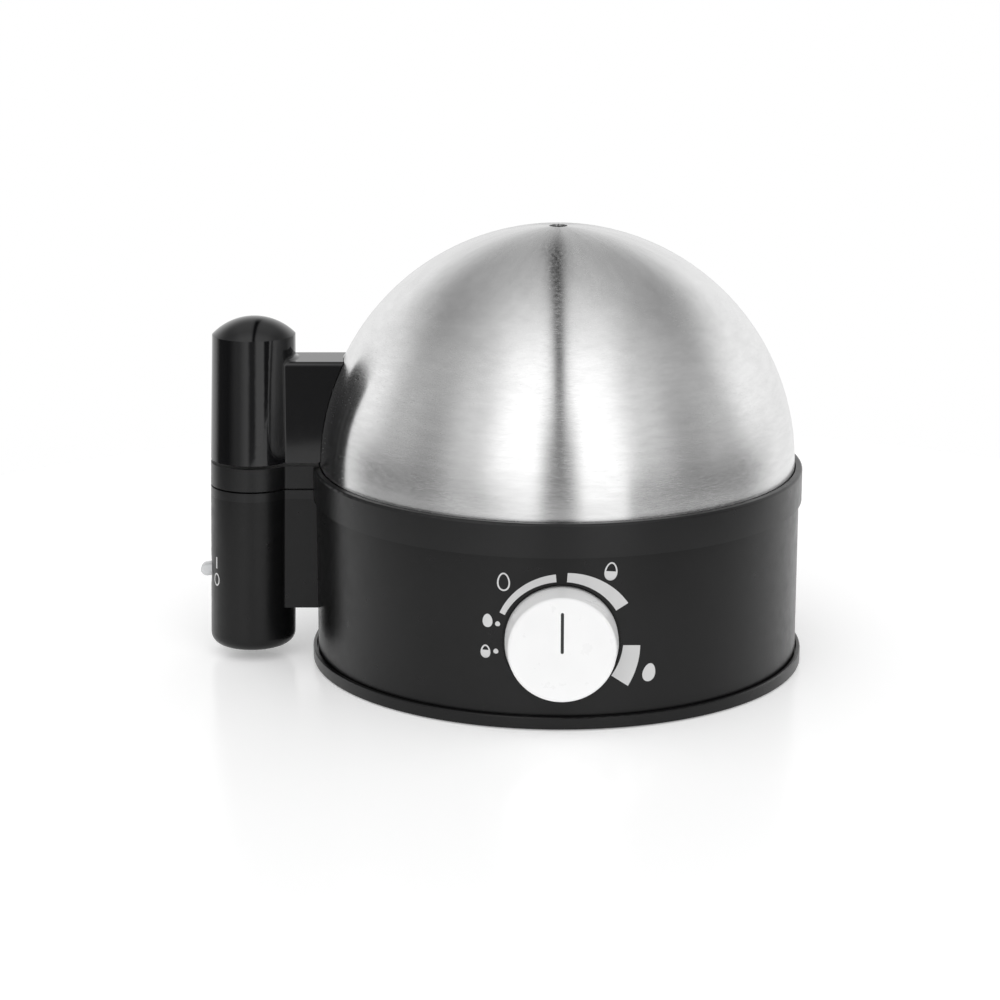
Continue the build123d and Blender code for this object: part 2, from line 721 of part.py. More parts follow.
with BuildPart() as bracket_screws:
    with BuildSketch(Plane.XY.offset(tab_bottom)):
        with Locations((-spreader_screw_x, spreader_screw_y), (spreader_screw_x, spreader_screw_y)):
            Circle(bracket_screw_head_radius)
    extrude(amount=-bracket_screw_head_height)
    with BuildSketch(Plane.XY.offset(tab_bottom)):
        with Locations((-spreader_screw_x, spreader_screw_y), (spreader_screw_x, spreader_screw_y)):
            Circle(bracket_screw_radius)
    extrude(amount=bracket_sheet + 0.8 * spreader_thickness)
save(bracket_screws.part, "bracket_screws")

# Nut that clamps the bush to its bracket
with BuildPart() as bush_nut:
    with BuildSketch(Plane.XZ.offset(bracket_front)):
        with Locations((0, knob_height)):
            RegularPolygon(bush_radius + nut_flange, 6)
            Circle(bush_radius + running_gap, mode=Mode.SUBTRACT)
    extrude(amount=nut_thickness)
save(bush_nut.part, "bush_nut")

# ======================================================================= knob
knob_inner_face = knob_front - knob_face_thickness
knob_bore_radius = shaft_radius + running_gap + clip_thickness + running_gap
shaft_end = knob_inner_face - seat_gap
with BuildPart() as knob:
    with BuildSketch(Plane.XZ.offset(knob_back)):
        with Locations((0, knob_height)):
            Circle(knob_back_radius)
    extrude(amount=knob_skirt_depth)
    with BuildSketch(Plane.XZ.offset(knob_taper_start)):
        with Locations((0, knob_height)):
            Circle(knob_back_radius)
    extrude(amount=knob_taper_depth, taper=knob_taper)
    front_edge = knob.edges().filter_by(GeomType.CIRCLE).sort_by(Axis.Y)[0]
    fillet(front_edge, radius=knob_edge_round)
    with BuildSketch(Plane.XZ.offset(knob_back)):
        with Locations((0, knob_height)):
            Circle(knob_back_radius - knob_wall)
    extrude(amount=knob_skirt_depth, mode=Mode.SUBTRACT)
    with BuildSketch(Plane.XZ.offset(knob_taper_start)):
        with Locations((0, knob_height)):
            Circle(knob_back_radius - knob_wall)
    extrude(amount=knob_inner_face - knob_taper_start, taper=knob_taper, mode=Mode.SUBTRACT)
    with BuildSketch(Plane.XZ.offset(knob_back + seat_gap)):
        with Locations((0, knob_height)):
            Circle(hub_radius)
    extrude(amount=knob_inner_face - knob_back - seat_gap)
    with BuildSketch(Plane.XZ.offset(knob_back)):
        with Locations((0, knob_height)):
            Circle(knob_bore_radius)
    extrude(amount=knob_inner_face - knob_back, mode=Mode.SUBTRACT)
    with BuildSketch(Plane.XZ.offset(knob_front)):
        with Locations((0, knob_height + pointer_outer_end - pointer_length / 2)):
            SlotOverall(pointer_length, pointer_width, rotation=90)
    extrude(amount=-pointer_depth, mode=Mode.SUBTRACT)
save(knob.part, "knob")

with BuildPart() as knob_pointer:
    with BuildSketch(Plane.XZ.offset(knob_front - pointer_depth)):
        with Locations((0, knob_height + pointer_outer_end - pointer_length / 2)):
            SlotOverall(pointer_length, pointer_width, rotation=90)
    extrude(amount=pointer_depth)
save(knob_pointer.part, "knob_pointer")

# Thermostat shaft, flattened where the knob grips it.
shaft_inner_end = thermostat_front - thermostat_depth / 2 + seat_gap
with BuildPart() as knob_shaft:
    with BuildSketch(Plane.XZ.offset(shaft_inner_end)):
        with Locations((0, knob_height)):
            Circle(shaft_radius)
    extrude(amount=shaft_end - shaft_inner_end)
    with BuildSketch(Plane.XZ.offset(knob_back)):
        with Locations((0, knob_height + shaft_flat_offset)):
            Rectangle(2 * shaft_radius, shaft_radius, align=(Align.CENTER, Align.MIN))
    extrude(amount=shaft_end - knob_back, mode=Mode.SUBTRACT)
save(knob_shaft.part, "knob_shaft")

# Spring clip: a slit sleeve between the shaft and the knob's hub.
with BuildPart() as knob_clip:
    with BuildSketch(Plane.XZ.offset(knob_back + 2 * seat_gap)):
        with Locations((0, knob_height)):
            Circle(shaft_radius + running_gap + clip_thickness)
            Circle(shaft_radius + running_gap, mode=Mode.SUBTRACT)
            Rectangle(clip_thickness, 2 * hub_radius, align=(Align.CENTER, Align.MAX), mode=Mode.SUBTRACT)
    extrude(amount=shaft_end - knob_back - 3 * seat_gap)
save(knob_clip.part, "knob_clip")

# ============================================================== on/off switch
lever_pivot_x = handle_x(lever_pivot_height) - lever_pivot_offset
lever_tip_x = lever_pivot_x - lever_length
lever_tip_height = lever_pivot_height - lever_tip_drop
switch_front_x = lever_pivot_x - lever_hub_radius - seat_gap
switch_mid_x = switch_front_x + switch_depth / 2
switch_back_x = switch_front_x + switch_depth
switch_room = switch_depth - switch_cheek
half_room = switch_width / 2 - switch_cheek
switch_blade_heights = (switch_bottom + switch_blade_inset, switch_top - switch_blade_inset)
with BuildPart() as switch_body:
    with BuildSketch(Plane.XY.offset(switch_bottom)):
        with Locations((switch_mid_x, 0)):
            Rectangle(switch_depth, switch_width)
    extrude(amount=switch_top - switch_bottom)
    fillet(switch_body.edges().filter_by(Axis.Z), radius=switch_edge_round)
    with BuildSketch(Plane.XY.offset(switch_bottom + switch_floor)):
        with Locations((switch_front_x, 0)):
            Rectangle(switch_room, 2 * half_room, align=(Align.MIN, Align.CENTER))
    extrude(amount=switch_top - switch_bottom - 2 * switch_floor, mode=Mode.SUBTRACT)
    with BuildSketch(Plane.XZ.offset(-switch_width / 2)):
        with Locations((lever_pivot_x, lever_pivot_height)):
            Circle(lever_pin_radius + running_gap)
    extrude(amount=switch_width, mode=Mode.SUBTRACT)
save(switch_body.part, "switch_body")

lever_tip_centre_x = lever_tip_x + lever_thickness / 2
lever_reach = hypot(lever_pivot_x - lever_tip_centre_x, lever_pivot_height - lever_tip_height)
lever_dip = degrees(
    atan2(lever_pivot_height - lever_tip_height, lever_pivot_x - lever_tip_centre_x)
)
with BuildPart() as switch_lever:
    with BuildSketch(Plane.XZ.offset(-lever_width / 2)):
        with Locations(
            (
                (lever_pivot_x + lever_tip_centre_x) / 2,
                (lever_pivot_height + lever_tip_height) / 2,
            )
        ):
            SlotCenterToCenter(lever_reach, lever_thickness, rotation=lever_dip)
    extrude(amount=lever_width)
    side_edges = switch_lever.edges().filter_by_position(
        Axis.Y, -lever_width / 2 - pick_slack, -lever_width / 2 + pick_slack
    )
    side_edges += switch_lever.edges().filter_by_position(
        Axis.Y, lever_width / 2 - pick_slack, lever_width / 2 + pick_slack
    )
    fillet(side_edges, radius=lever_thickness / 3)
    with BuildSketch(Plane.XZ.offset(-(half_room - assembly_gap))):
        with Locations((lever_pivot_x, lever_pivot_height)):
            Circle(lever_hub_radius)
    extrude(amount=2 * (half_room - assembly_gap))
    with BuildSketch(Plane.XZ.offset(-switch_width / 2)):
        with Locations((lever_pivot_x, lever_pivot_height)):
            Circle(lever_pin_radius + running_gap)
    extrude(amount=switch_width, mode=Mode.SUBTRACT)
save(switch_lever.part, "switch_lever")

with BuildPart() as lever_pin:
    with BuildSketch(Plane.XZ.offset(-switch_width / 2)):
        with Locations((lever_pivot_x, lever_pivot_height)):
            Circle(lever_pin_radius)
    extrude(amount=switch_width)
save(lever_pin.part, "lever_pin")

# Glow lamp that lights the clear lever from behind
lamp_x = switch_front_x + switch_room - lamp_radius - assembly_gap
with BuildPart() as indicator_lamp:
    with BuildSketch(Plane.XZ.offset(-(half_room - assembly_gap))):
        with Locations((lamp_x, lever_pivot_height)):
            Circle(lamp_radius)
    extrude(amount=2 * (half_room - assembly_gap))
save(indicator_lamp.part, "indicator_lamp")

with BuildPart() as switch_blades:
    with BuildSketch(Plane.YZ.offset(switch_back_x)):
        with Locations(*[(0, height) for height in switch_blade_heights]):
            Rectangle(blade_width, blade_thickness)
    extrude(amount=switch_blade_length)
save(switch_blades.part, "switch_blades")

# ================================================================ mains parts
block_front = block_y - block_depth / 2
port_height = plate_top + block_height / 2
port_xs = (-block_port_spacing, 0, block_port_spacing)
with BuildPart() as terminal_block:
    with BuildSketch(Plane.XY.offset(plate_top)):
        with Locations((0, block_y)):
            RectangleRounded(block_length, block_depth, block_edge_round)
    extrude(amount=block_height)
    with BuildSketch(Plane.XZ.offset(-(block_front + block_depth))):
        with Locations(*[(x, port_height) for x in port_xs]):
            Circle(wire_radius + trim_gap)
    extrude(amount=block_depth - 4 * wire_radius, mode=Mode.SUBTRACT)
    with BuildSketch(Plane.XY.offset(plate_top + block_height)):
        with Locations(*[(x, block_y) for x in port_xs]):
            Circle(terminal_screw_radius + assembly_gap)
    extrude(amount=-block_height / 3, mode=Mode.SUBTRACT)
save(terminal_block.part, "terminal_block")

with BuildPart() as terminal_screws:
    with BuildSketch(Plane.XY.offset(plate_top + block_height * 2 / 3)):
        with Locations(*[(x, block_y) for x in port_xs]):
            Circle(terminal_screw_radius)
    extrude(amount=block_height / 4)
    with BuildSketch(Plane.XY.offset(plate_top + block_height * 11 / 12)):
        with Locations(*[(x, block_y) for x in port_xs]):
            Rectangle(3 * terminal_screw_radius, terminal_slot_width)
    extrude(amount=-terminal_slot_depth, mode=Mode.SUBTRACT)
save(terminal_screws.part, "terminal_screws")

# Buzzer: a drum with a sounding hole, on the base plate.
with BuildPart() as buzzer:
    with BuildSketch(Plane.XY.offset(plate_top)):
        with Locations((buzzer_x, buzzer_y)):
            Circle(buzzer_radius)
    extrude(amount=buzzer_height)
    buzzer_edge = buzzer.edges().filter_by(GeomType.CIRCLE).sort_by(Axis.Z)[-1]
    fillet(buzzer_edge, radius=buzzer_edge_round)
    with BuildSketch(Plane.XY.offset(plate_top + buzzer_height)):
        with Locations((buzzer_x, buzzer_y)):
            Circle(buzzer_hole_radius)
    extrude(amount=-buzzer_height / 2, mode=Mode.SUBTRACT)
save(buzzer.part, "buzzer")

# Wires: straight runs joined by tangent arcs, from terminal to terminal.
blade_end_y = -(thermostat_back - thermostat_blade_length)
switch_blade_end = switch_back_x + switch_blade_length
fuse_end = fuse_length / 2
wire_routes = {
    "wire_block_to_switch": [
        (-block_port_spacing, block_front, port_height),
        (-block_port_spacing, block_front - 14, port_height),
        (-44, 8, port_height + 6),
        (switch_blade_end + 18, 0, switch_blade_heights[0]),
        (switch_blade_end, 0, switch_blade_heights[0]),
    ],
    "wire_switch_to_thermostat": [
        (switch_blade_end, 0, switch_blade_heights[1]),
        (switch_blade_end + 18, 0, switch_blade_heights[1]),
        (-42, -8, blade_height + 2),
        (-thermostat_blade_offset, blade_end_y + 15, blade_height),
        (-thermostat_blade_offset, blade_end_y, blade_height),
    ],
    "wire_thermostat_to_element": [
        (thermostat_blade_offset, blade_end_y, blade_height),
        (thermostat_blade_offset, blade_end_y + 14, blade_height),
        (element_end_x + 4, 6, pin_bottom - 8),
        (element_end_x, element_end_y, pin_bottom - 10),
        (element_end_x, element_end_y, pin_bottom),
    ],
    "wire_element_to_fuse": [
        (-element_end_x, element_end_y, pin_bottom),
        (-element_end_x, element_end_y, pin_bottom - 9),
        (-element_end_x - 5, fuse_y + 6, fuse_height - 18),
        (-element_end_x - 1, fuse_y, fuse_height),
        (-fuse_end, fuse_y, fuse_height),
    ],
    "wire_fuse_to_block": [
        (fuse_end, fuse_y, fuse_height),
        (fuse_end + 9, fuse_y, fuse_height),
        (fuse_end + 8, fuse_y + 8, fuse_height - 18),
        (block_port_spacing, block_front - 12, port_height),
        (block_port_spacing, block_front, port_height),
    ],
}


def bend_radii(points):
    """At each corner, 0.45 of the shorter run over the tangent of half the turn."""
    radii = []
    for before, corner, after in zip(points, points[1:], points[2:]):
        arriving = Vector(*corner) - Vector(*before)
        leaving = Vector(*after) - Vector(*corner)
        half_turn = radians(arriving.get_angle(leaving)) / 2
        radii.append(0.45 * min(arriving.length, leaving.length) / tan(half_turn))
    return radii


for wire_name, points in wire_routes.items():
    radii = bend_radii(points)
    print(wire_name, "bend radii", [round(radius, 1) for radius in radii])
    with BuildPart() as wire:
        with BuildLine() as route:
            FilletPolyline(*points, radius=radii)
        with BuildSketch(Plane(origin=points[0], z_dir=route.line % 0)):
            Circle(wire_radius)
        sweep()
    save(wire.part, wire_name)

# =================================================================== egg tray
segment_post = leaning_post(tray_handle_bottom, tray_handle_top, handle_radius, handle_radius)
segment_core = leaning_post(
    tray_handle_bottom,
    tray_handle_top - handle_wall,
    handle_core_radius,
    handle_core_radius,
)
half_step = 180 / egg_ring_count
steam_ring_radius = egg_ring_radius / sqrt(3)
guide_radius = dome_inner_radius - trim_gap
segment_neck = neck_block(tray_handle_bottom, tray_handle_top, neck_width, -dome_inner_radius)
with BuildPart() as egg_tray:
    add(segment_post)
    add(segment_neck)
    fillet(corner_edges(egg_tray, tray_handle_bottom, tray_handle_top), radius=neck_blend)
    add(segment_core, mode=Mode.SUBTRACT)
    # Room for the dome's skirt behind the neck
    with BuildSketch(Plane.XY.offset(tray_top)):
        Circle(dome_radius + 2 * seat_gap)
    extrude(amount=tray_handle_height, mode=Mode.SUBTRACT)
    with BuildSketch(Plane.XY.offset(pan_rim_top)):
        Circle(tray_radius)
    extrude(amount=tray_thickness)
    # Guide ring that centres the dome's skirt
    with BuildSketch(Plane.XY.offset(tray_top)):
        Circle(guide_radius)
        Circle(guide_radius - tray_guide_width, mode=Mode.SUBTRACT)
    extrude(amount=tray_guide_height)
    with BuildSketch(Plane.XY.offset(tray_top)):
        if middle_egg_fits:
            Circle(egg_hole_radius)
        with PolarLocations(egg_ring_radius, egg_ring_count):
            Circle(egg_hole_radius)
        with PolarLocations(steam_ring_radius, egg_ring_count, start_angle=half_step):
            Circle(steam_hole_radius)
    extrude(amount=-tray_thickness, mode=Mode.SUBTRACT)
    hole_edges = egg_tray.edges().filter_by(GeomType.CIRCLE)
    hole_edges = hole_edges.filter_by_position(Axis.Z, tray_top - pick_slack, tray_top + pick_slack)
    hole_edges = hole_edges.filter_by(lambda edge: abs(edge.radius - egg_hole_radius) < pick_slack)
    chamfer(hole_edges, length=egg_hole_bevel)
save(egg_tray.part, "egg_tray")

# ======================================================================== lid
# Dome: a half ball on a short straight skirt, open at the vent.
vent_angle = degrees(acos(vent_radius / dome_radius))
inner_vent_angle = degrees(acos(vent_radius / dome_inner_radius))
with BuildPart() as dome:
    with BuildSketch(Plane.XZ):
        with BuildLine():
            outer = CenterArc((0, dome_centre_height), dome_radius, 0, vent_angle)
            inner = CenterArc((0, dome_centre_height), dome_inner_radius, 0, inner_vent_angle)
            Line(outer @ 1, inner @ 1)
            Polyline(
                outer @ 0,
                (dome_radius, tray_top),
                (dome_inner_radius, tray_top),
                inner @ 0,
            )
        make_face()
    revolve(axis=Axis.Z)
    for elevation in lid_screw_elevations:
        outward = Vector(-cos(radians(elevation)), 0, sin(radians(elevation)))
        hole_start = Vector(0, 0, dome_centre_height) + outward * (dome_inner_radius - screw_hole_overrun)
        with BuildSketch(Plane(origin=hole_start, z_dir=outward)):
            Circle(lid_screw_shank_radius + assembly_gap)
        extrude(amount=2 * screw_hole_overrun + dome_wall, mode=Mode.SUBTRACT)
save(dome.part, "dome")

# Lid handle: a hollow post with a domed end and a bracket fitted to the dome.
lid_post = leaning_post(lid_handle_bottom, cap_crease_height, handle_radius, cap_radius)
lid_core = leaning_post(
    lid_handle_bottom,
    cap_crease_height - housing_wall,
    handle_core_radius,
    cap_radius - handle_wall,
)
lid_bracket = neck_block(lid_handle_bottom, bracket_top, neck_width, -dome_radius / 2)
cap_x = handle_x(cap_crease_height)
cap_sphere_radius = (cap_radius**2 + cap_rise**2) / (2 * cap_rise)
cap_angle = degrees(acos(cap_radius / cap_sphere_radius))
cap_centre_height = cap_crease_height + cap_rise - cap_sphere_radius
with BuildPart() as lid_handle:
    add(lid_bracket)
    top_edges = lid_handle.edges().filter_by(Axis.X).group_by(Axis.Z)[-1]
    fillet(top_edges, radius=bracket_edge_round)
    add(lid_post)
    fillet(
        corner_edges(lid_handle, lid_handle_bottom, bracket_top - bracket_edge_round),
        radius=neck_blend,
    )
    with BuildSketch(Plane.XZ):
        with BuildLine():
            cap_arc = CenterArc((cap_x, cap_centre_height), cap_sphere_radius, cap_angle, 90 - cap_angle)
            Polyline(cap_arc @ 1, (cap_x, cap_crease_height), cap_arc @ 0)
        make_face()
    revolve(axis=Axis((cap_x, 0, 0), (0, 0, 1)))
    add(lid_core, mode=Mode.SUBTRACT)
    with Locations((0, 0, dome_centre_height)):
        Sphere(dome_radius + bracket_seat_gap, mode=Mode.SUBTRACT)
    for elevation in lid_screw_elevations:
        outward = Vector(-cos(radians(elevation)), 0, sin(radians(elevation)))
        hole_start = Vector(0, 0, dome_centre_height) + outward * dome_inner_radius
        with BuildSketch(Plane(origin=hole_start, z_dir=outward)):
            Circle(lid_screw_shank_radius + running_gap)
        extrude(amount=lid_screw_length, mode=Mode.SUBTRACT)
save(lid_handle.part, "lid_handle")

# Plug that closes the underside of the lid handle
lid_plug_part = leaning_post(
    lid_handle_bottom,
    lid_handle_bottom + lid_plug_thickness,
    handle_core_radius - assembly_gap,
    handle_core_radius - assembly_gap,
)
with BuildPart() as lid_handle_plug:
    add(lid_plug_part)
save(lid_handle_plug.part, "lid_handle_plug")

# Clamp plate inside the dome, under the screw heads
clamp_outer_radius = dome_inner_radius - running_gap
clamp_inner_radius = clamp_outer_radius - clamp_thickness
clamp_start = lid_screw_elevations[0] - clamp_margin
clamp_sweep = lid_screw_elevations[1] - lid_screw_elevations[0] + 2 * clamp_margin
with BuildPart() as lid_clamp_plate:
    with BuildSketch(Plane.XZ):
        with BuildLine():
            clamp_outer = CenterArc(
                (0, dome_centre_height), clamp_outer_radius, 180 - clamp_start, -clamp_sweep
            )
            clamp_inner = CenterArc(
                (0, dome_centre_height), clamp_inner_radius, 180 - clamp_start, -clamp_sweep
            )
            Line(clamp_outer @ 0, clamp_inner @ 0)
            Line(clamp_outer @ 1, clamp_inner @ 1)
        make_face()
    revolve(axis=Axis.Z)
    with BuildSketch(Plane.XY.offset(dome_centre_height)):
        with Locations((-dome_radius, 0)):
            Rectangle(dome_radius, clamp_width)
    extrude(amount=dome_radius, mode=Mode.INTERSECT)
    for elevation in lid_screw_elevations:
        outward = Vector(-cos(radians(elevation)), 0, sin(radians(elevation)))
        hole_start = Vector(0, 0, dome_centre_height) + outward * (clamp_inner_radius - screw_hole_overrun)
        with BuildSketch(Plane(origin=hole_start, z_dir=outward)):
            Circle(lid_screw_shank_radius + assembly_gap)
        extrude(amount=2 * screw_hole_overrun + clamp_thickness, mode=Mode.SUBTRACT)
save(lid_clamp_plate.part, "lid_clamp_plate")

head_seat_radius = sqrt(clamp_inner_radius**2 - lid_screw_head_radius**2) - running_gap
with BuildPart() as lid_screws:
    for elevation in lid_screw_elevations:
        outward = Vector(-cos(radians(elevation)), 0, sin(radians(elevation)))
        head_origin = Vector(0, 0, dome_centre_height) + outward * head_seat_radius
        with BuildSketch(Plane(origin=head_origin, z_dir=outward)):
            Circle(lid_screw_head_radius)
        extrude(amount=-lid_screw_head_height)
        with BuildSketch(Plane(origin=head_origin, z_dir=outward)):
            Circle(lid_screw_shank_radius)
        extrude(amount=lid_screw_length)
save(lid_screws.part, "lid_screws")
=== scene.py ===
"""Looks of the egg cooker: materials, printed marks, floor, studio light and camera.

Metres, in the frame of the CAD model: +Z up, -Y towards the control knob, -X towards
the handle. Most sizes and places come from the frame's own boxes and joints. The few
that those don't give, such as the handle's radius, repeat the CAD model's.
"""

import json
from math import cos, pi, radians, sin, sqrt, tan

import bmesh
import bpy
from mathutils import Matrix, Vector


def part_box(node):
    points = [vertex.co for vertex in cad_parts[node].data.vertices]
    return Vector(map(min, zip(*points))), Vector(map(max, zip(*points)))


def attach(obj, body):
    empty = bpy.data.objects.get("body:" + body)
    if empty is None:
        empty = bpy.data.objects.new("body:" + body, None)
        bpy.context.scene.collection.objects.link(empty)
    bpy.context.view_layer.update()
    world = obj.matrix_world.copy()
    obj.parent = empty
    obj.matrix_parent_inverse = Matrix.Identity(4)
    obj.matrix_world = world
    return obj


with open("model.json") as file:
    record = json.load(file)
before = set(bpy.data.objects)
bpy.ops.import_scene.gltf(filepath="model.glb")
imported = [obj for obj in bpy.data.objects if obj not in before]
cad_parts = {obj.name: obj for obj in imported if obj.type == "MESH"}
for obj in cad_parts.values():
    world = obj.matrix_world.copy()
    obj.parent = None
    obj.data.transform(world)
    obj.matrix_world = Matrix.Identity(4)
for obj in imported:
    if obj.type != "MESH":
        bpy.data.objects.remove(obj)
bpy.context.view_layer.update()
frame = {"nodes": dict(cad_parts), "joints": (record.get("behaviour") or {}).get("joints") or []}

MM = 0.001

# ------------------------------------------------------------------ places
_, housing_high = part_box("base_housing")
_, dome_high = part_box("dome")
tray_low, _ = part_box("egg_tray")
joint_by_name = {joint["name"]: joint for joint in frame["joints"]}

body_radius = housing_high.x
dome_radius = dome_high.x
vent_radius = 3.0 * MM  # the hole at the dome's top cuts its highest point off
dome_centre_height = dome_high.z - sqrt(dome_radius**2 - vent_radius**2)
knob_height = joint_by_name["knob_turn"]["pos_m"][2]

handle_lean = radians(1.3)
handle_radius = 14.5 * MM
segment_bottom = 60.3 * MM  # where the tray's segment of the handle begins


def handle_axis_x(height):
    """Where the leaning axis of the handle stack is at a height."""
    return tray_low.x + handle_radius + (height - segment_bottom) * tan(handle_lean)


# --------------------------------------------------------------- materials
def math_node(tree, operation, *operands):
    """One Math node. Each operand is a number or another node's output."""
    node = tree.nodes.new("ShaderNodeMath")
    node.operation = operation
    for socket, value in zip(node.inputs, operands):
        if isinstance(value, (int, float)):
            socket.default_value = value
        else:
            tree.links.new(value, socket)
    return node.outputs[0]


noise_low = 0.3  # noise mostly stays between these two values
noise_high = 0.7


class Finish:
    """A material's node tree, with a short call for each node that is used here."""

    def __init__(self, name):
        self.material = bpy.data.materials.new(name)
        self.material.use_nodes = True
        self.tree = self.material.node_tree
        self.surface = self.tree.nodes["Principled BSDF"]
        self.place = self.add("ShaderNodeTexCoord").outputs["Object"]

    def add(self, kind, **settings):
        node = self.tree.nodes.new(kind)
        for name, value in settings.items():
            setattr(node, name, value)
        return node

    def link(self, output, node_input):
        self.tree.links.new(output, node_input)

    def math(self, operation, *operands):
        return math_node(self.tree, operation, *operands)

    def stretched(self, vector, scale):
        """The same coordinates, scaled by a different number along each axis."""
        node = self.add("ShaderNodeMapping")
        node.inputs["Scale"].default_value = scale
        self.link(vector, node.inputs["Vector"])
        return node.outputs["Vector"]

    def noise(self, vector, size, detail=3.0, roughness=0.5):
        """Noise from 0 to 1, whose blotches are about this size."""
        node = self.add("ShaderNodeTexNoise")
        node.inputs["Scale"].default_value = 1 / size
        node.inputs["Detail"].default_value = detail
        node.inputs["Roughness"].default_value = roughness
        self.link(vector, node.inputs["Vector"])
        return node.outputs["Fac"]

    def between(self, value, low, high):
        """Maps a noise value onto the range from low to high."""
        node = self.add("ShaderNodeMapRange")
        node.inputs["From Min"].default_value = noise_low
        node.inputs["From Max"].default_value = noise_high
        node.inputs["To Min"].default_value = low
        node.inputs["To Max"].default_value = high
        self.link(value, node.inputs["Value"])
        return node.outputs["Result"]

    def mixed(self, share, first, second):
        """A colour between two colours."""
        node = self.add("ShaderNodeMix", data_type="RGBA")
        self.link(share, node.inputs["Factor"])
        node.inputs["A"].default_value = (*first, 1)
        node.inputs["B"].default_value = (*second, 1)
        return node.outputs["Result"]

    def colour(self, share, first, second):
        self.link(self.mixed(share, first, second), self.surface.inputs["Base Color"])

    def roughness(self, output):
        self.link(output, self.surface.inputs["Roughness"])

    def bump(self, height, depth):
        """Raises the surface by up to depth, in metres."""
        node = self.add("ShaderNodeBump")
        node.inputs["Distance"].default_value = depth
        self.link(height, node.inputs["Height"])
        self.link(node.outputs["Normal"], self.surface.inputs["Normal"])

    def about(self, value, middle, spread):
        """Maps a noise value onto a range about the middle, wider by a share of it."""
        return self.between(value, middle * (1 - spread), middle * (1 + spread))

    def constants(self, **values):
        """Sets the shader's own sockets. An underscore stands for a space."""
        for name, value in values.items():
            self.surface.inputs[name.replace("_", " ")].default_value = value


def shade(colour, factor):
    return tuple(min(1.0, channel * factor) for channel in colour)


def plastic(
    name, colour, roughness, grain=0.25 * MM, depth=0.006 * MM, spread=0.15, specular=0.5
):
    """Moulded plastic: fine spark-eroded grain, slow changes of colour and gloss."""
    colour_patch = 18 * MM
    gloss_patch = 5 * MM
    gloss_spread = 0.12
    finish = Finish(name)
    slow = finish.noise(finish.place, colour_patch, 2.0)
    fine = finish.noise(finish.place, grain, 2.0)
    finish.colour(finish.between(slow, 0, 1), shade(colour, 1 - spread), shade(colour, 1 + spread))
    worn = finish.noise(finish.place, gloss_patch, 4.0, 0.6)
    finish.roughness(finish.about(worn, roughness, gloss_spread))
    finish.bump(fine, depth)
    finish.constants(Specular_IOR_Level=specular)
    return finish.material


def turned_metal(
    name, colour, roughness, centre_height, anisotropy, line=0.12 * MM, depth=0.002 * MM
):
    """Metal brushed on a lathe: fine lines that run round the Z axis."""
    fine_round = 0.004  # how fast the lines change round the axis, against 1 along it
    broad_round = 0.012
    broad_line = 1.6 * MM
    cloud_size = 30 * MM
    line_spread = 0.2
    cloud_spread = 0.015
    finish = Finish(name)
    axes = finish.add("ShaderNodeSeparateXYZ")
    finish.link(finish.place, axes.inputs["Vector"])
    x, y, z = axes.outputs
    squares = finish.math(
        "ADD", finish.math("MULTIPLY", x, x), finish.math("MULTIPLY", y, y)
    )
    across = finish.math("SQRT", squares)
    turn = finish.math("ARCTAN2", y, x)
    climb = finish.math("ARCTAN2", finish.math("SUBTRACT", z, centre_height), across)
    along = finish.math("MULTIPLY", climb, body_radius)
    reach = finish.math("ADD", along, across)
    combined = finish.add("ShaderNodeCombineXYZ")
    finish.link(finish.math("COSINE", turn), combined.inputs["X"])
    finish.link(finish.math("SINE", turn), combined.inputs["Y"])
    finish.link(reach, combined.inputs["Z"])
    brushed = combined.outputs[0]
    fine = finish.noise(finish.stretched(brushed, (fine_round, fine_round, 1.0)), line, 2.0)
    broad = finish.noise(
        finish.stretched(brushed, (broad_round, broad_round, 1.0)), broad_line, 4.0, 0.65
    )
    cloud = finish.noise(finish.place, cloud_size, 2.0)
    finish.colour(finish.between(broad, 0, 1), shade(colour, 0.94), shade(colour, 1.05))
    rough = finish.math(
        "ADD",
        finish.about(fine, roughness, line_spread),
        finish.between(cloud, -cloud_spread, cloud_spread),
    )
    finish.roughness(rough)
    finish.bump(fine, depth)
    finish.constants(Metallic=1.0, Anisotropic=anisotropy, Anisotropic_Rotation=0.25)
    tangent = finish.add("ShaderNodeTangent", direction_type="RADIAL", axis="Z")
    finish.link(tangent.outputs["Tangent"], finish.surface.inputs["Tangent"])
    return finish.material


def plain_metal(name, colour, roughness, grain=0.6 * MM, depth=0.006 * MM, tint=None):
    """Cast, plated or drawn metal, with blotches of a second tint."""
    blotch_size = 7 * MM
    gloss_spread = 0.25
    finish = Finish(name)
    blotch = finish.noise(finish.place, blotch_size, 5.0, 0.6)
    fine = finish.noise(finish.place, grain, 3.0)
    finish.colour(finish.between(blotch, 0, 1), colour, tint or shade(colour, 0.82))
    finish.roughness(finish.about(fine, roughness, gloss_spread))
    finish.bump(fine, depth)
    finish.constants(Metallic=1.0)
    return finish.material


def clear_plastic(name, colour, roughness, transmission):
    """Milky clear plastic."""
    cloud_size = 3 * MM
    gloss_spread = 0.2
    ripple_size = 0.5 * MM
    ripple_depth = 0.004 * MM
    finish = Finish(name)
    cloud = finish.noise(finish.place, cloud_size, 3.0)
    finish.colour(finish.between(cloud, 0, 1), shade(colour, 0.94), shade(colour, 1.05))
    finish.roughness(finish.about(cloud, roughness, gloss_spread))
    finish.bump(finish.noise(finish.place, ripple_size, 2.0), ripple_depth)
    finish.constants(Transmission_Weight=transmission, IOR=1.49)
    return finish.material


